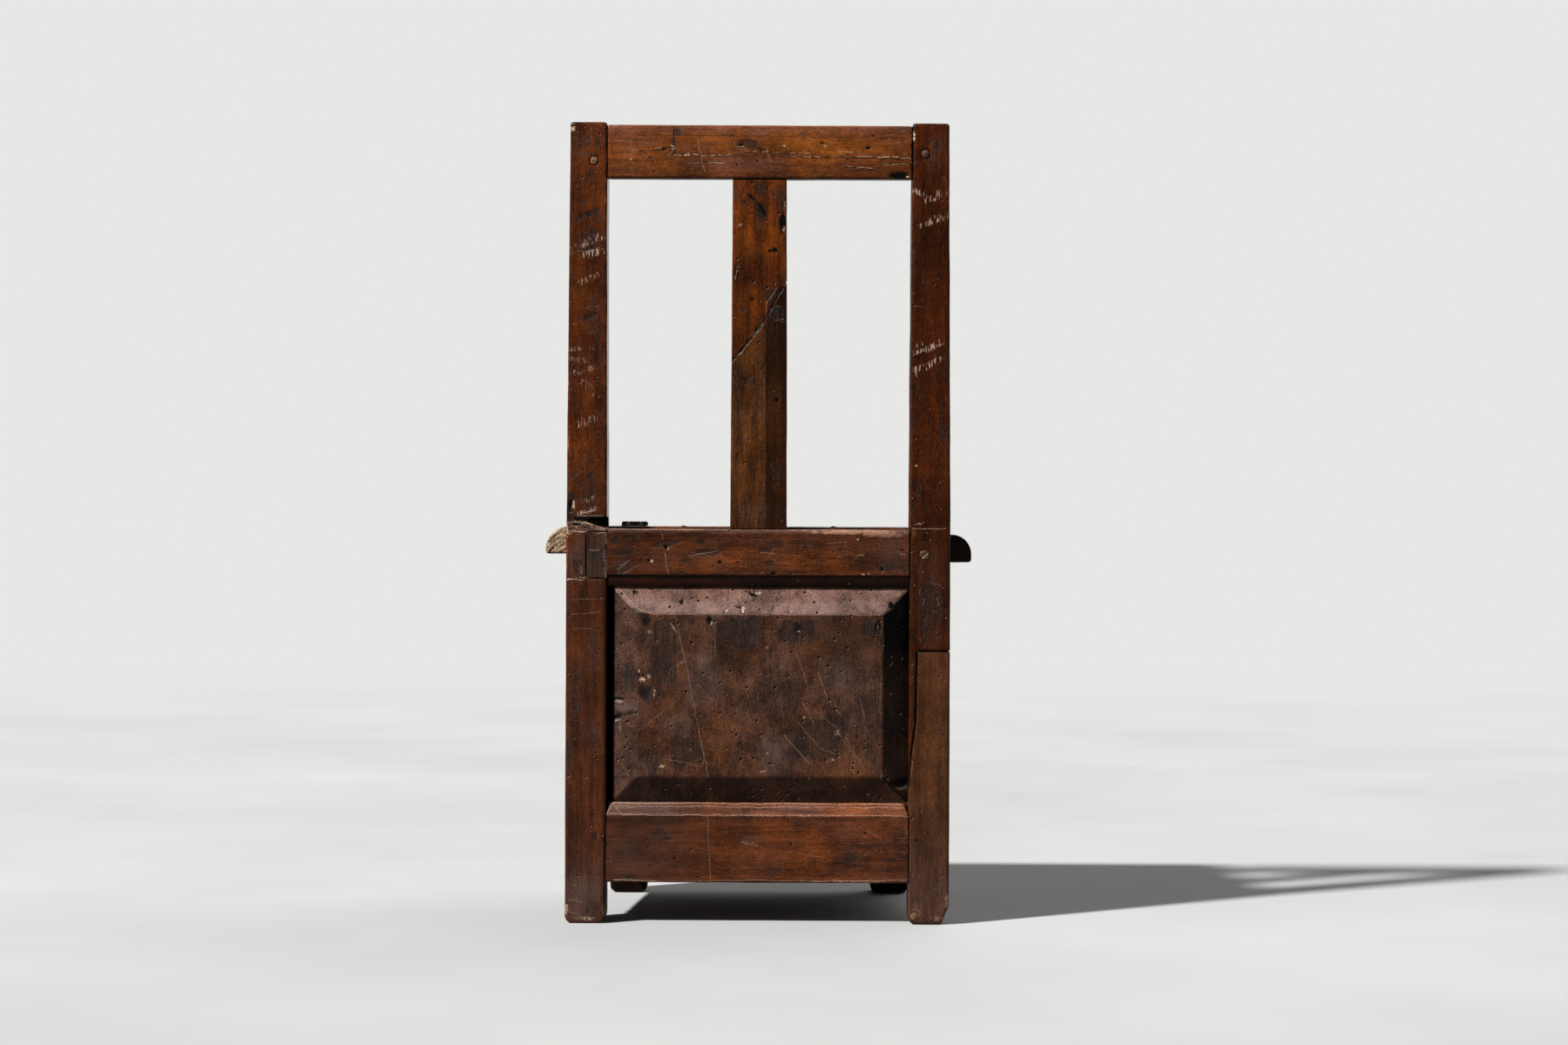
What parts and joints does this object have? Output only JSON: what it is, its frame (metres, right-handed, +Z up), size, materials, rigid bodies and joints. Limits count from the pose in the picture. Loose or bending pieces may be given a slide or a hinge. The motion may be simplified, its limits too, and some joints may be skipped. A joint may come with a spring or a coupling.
{
  "type": "wainscot chair",
  "caption": "Joined walnut box-seat chair with raised and fielded panels, a hinged seat lid and an open raked back with one splat.",
  "frame": {"origin": "floor level, under the middle of the overall box", "axes": "+Z up, the sitter faces -Y, +X to the sitter's left"},
  "size_m": [0.537, 0.4129, 0.997],
  "materials": {
    "post_wood": "old waxed walnut, red-brown, worn arrises",
    "graft_wood": "newer walnut, lighter brown, satin",
    "top_rail_wood": "old waxed walnut, orange-brown, cracked along the grain",
    "splat_wood": "old waxed walnut, dark red-brown",
    "splat_repair_wood": "old walnut, olive-brown",
    "rail_wood": "old waxed walnut, red-brown",
    "panel_wood": "old walnut, grey-brown and dusty",
    "seat_wood": "old walnut, worn by use",
    "inner_wood": "unfinished old wood",
    "peg_wood": "end grain of oak pegs",
    "hinge_iron": "forged iron, dark, worn bright in places",
    "nail_iron": "forged iron",
    "screw_metal": "aged steel, warm"
  },
  "bodies": {
    "frame": {"rear_stile_left": "post_wood", "rear_stile_right": "post_wood", "front_leg_left": "post_wood", "front_leg_right": "post_wood", "rear_stile_right_graft": "graft_wood", "stile_mortise_patch": "graft_wood", "top_rail": "top_rail_wood", "splat": "splat_wood", "splat_repair": "splat_repair_wood", "rear_seat_rail": "rail_wood", "rear_bottom_rail": "rail_wood", "front_seat_rail": "rail_wood", "front_bottom_rail": "rail_wood", "side_seat_rail_left": "rail_wood", "side_seat_rail_right": "rail_wood", "side_bottom_rail_left": "rail_wood", "side_bottom_rail_right": "rail_wood", "rear_panel": "panel_wood", "front_panel": "panel_wood", "side_panel_left": "panel_wood", "side_panel_right": "panel_wood", "rear_seat_strip": "seat_wood", "strip_ledger": "inner_wood", "floor_ledger_rear": "inner_wood", "floor_ledger_front": "inner_wood", "floor_board_left": "inner_wood", "floor_board_right": "inner_wood", "back_pegs": "peg_wood", "front_pegs": "peg_wood", "side_pegs": "peg_wood", "hinge_fixed_leaf_left": "hinge_iron", "hinge_fixed_leaf_right": "hinge_iron", "hinge_pins": "hinge_iron", "strip_nails": "nail_iron", "ledger_nails": "nail_iron", "floor_nails": "nail_iron", "hinge_nails_frame": "nail_iron", "stile_screw": "screw_metal"},
    "lid": {"lid_rear_board": "seat_wood", "lid_front_board": "seat_wood", "lid_batten_left": "inner_wood", "lid_batten_right": "inner_wood", "hinge_moving_leaf_left": "hinge_iron", "hinge_moving_leaf_right": "hinge_iron", "lid_nails": "nail_iron", "hinge_nails_lid": "nail_iron"}
  },
  "joints": [
    {"name": "lid_hinge", "type": "hinge", "parent": "frame", "child": "lid", "pos_m": [0, 0.09073, 0.4992], "axis": [-1, 0, 0], "range_deg": [0, 100]}
  ]
}
